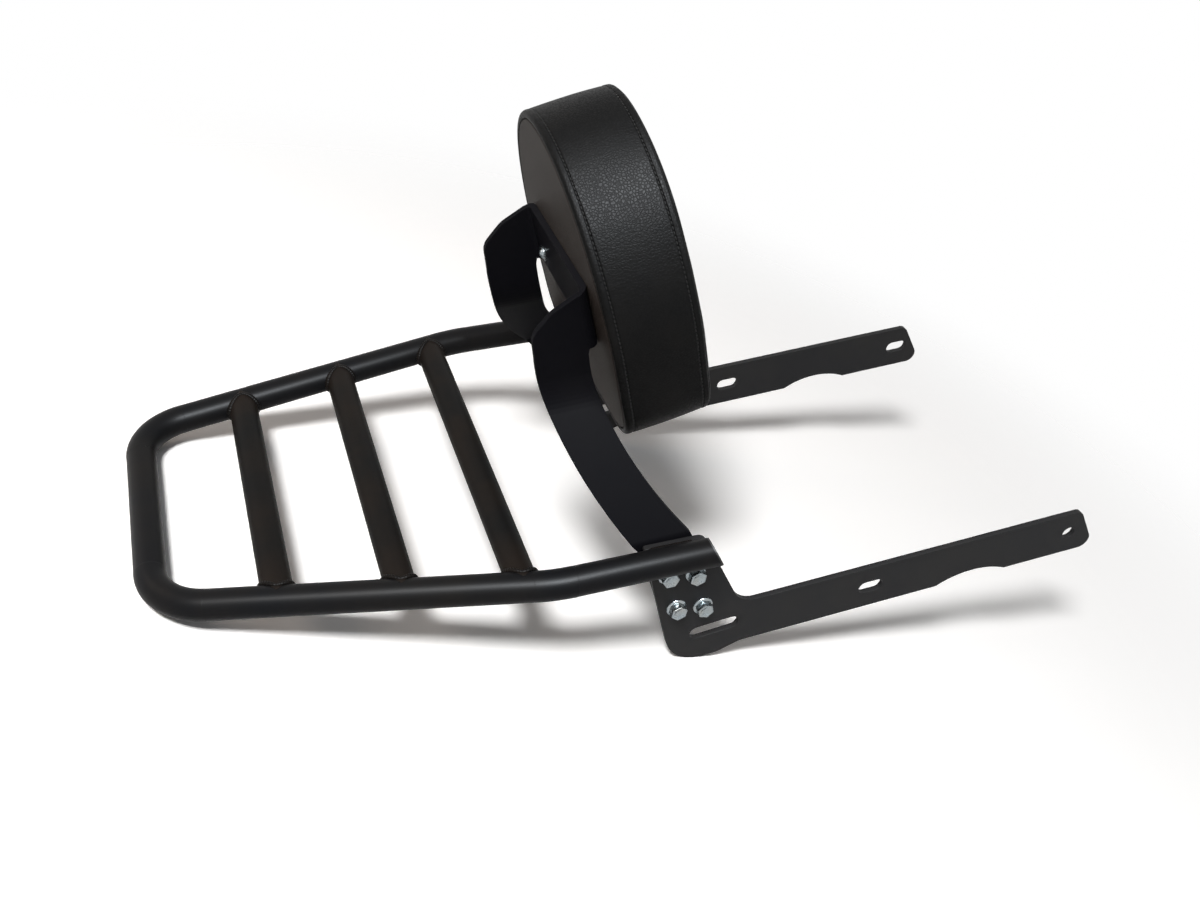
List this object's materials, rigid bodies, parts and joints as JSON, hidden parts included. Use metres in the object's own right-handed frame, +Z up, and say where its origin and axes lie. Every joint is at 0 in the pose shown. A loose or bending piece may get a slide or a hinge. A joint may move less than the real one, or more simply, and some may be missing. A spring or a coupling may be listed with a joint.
{
  "type": "motorcycle backrest with luggage rack",
  "caption": "Tubular luggage rack welded to flat side arms, with a bolted sheet-metal hoop that carries a padded passenger backrest.",
  "frame": {"origin": "midway between the front bolt holes of the two arm plates", "axes": "+X forward along the arms, +Y to the rider's left, +Z up as fitted"},
  "size_m": [0.8374, 0.3828, 0.4568],
  "materials": {
    "black_steel": "satin black paint",
    "zinc": "bright zinc plate",
    "black_hide": "grained, satin",
    "back_panel": "smooth, satin",
    "board": "raw",
    "foam": "open cell",
    "plug": "moulded"
  },
  "bodies": {
    "root": {"rack_loop": "black_steel", "cross_tube_rear": "black_steel", "cross_tube_middle": "black_steel", "cross_tube_front": "black_steel", "arm_plate_right": "black_steel", "arm_plate_left": "black_steel", "arm_welds": "black_steel", "tube_plugs": "plug", "backrest_hoop": "black_steel", "hoop_bolts_right": "zinc", "hoop_bolts_left": "zinc", "hoop_nuts_right": "zinc", "hoop_nuts_left": "zinc", "pad_back_panel": "back_panel", "pad_board": "board", "pad_foam": "foam", "pad_cover": "black_hide", "pad_bolts": "zinc", "pad_washers": "zinc", "pad_tee_nuts": "zinc"}
  },
  "joints": []
}
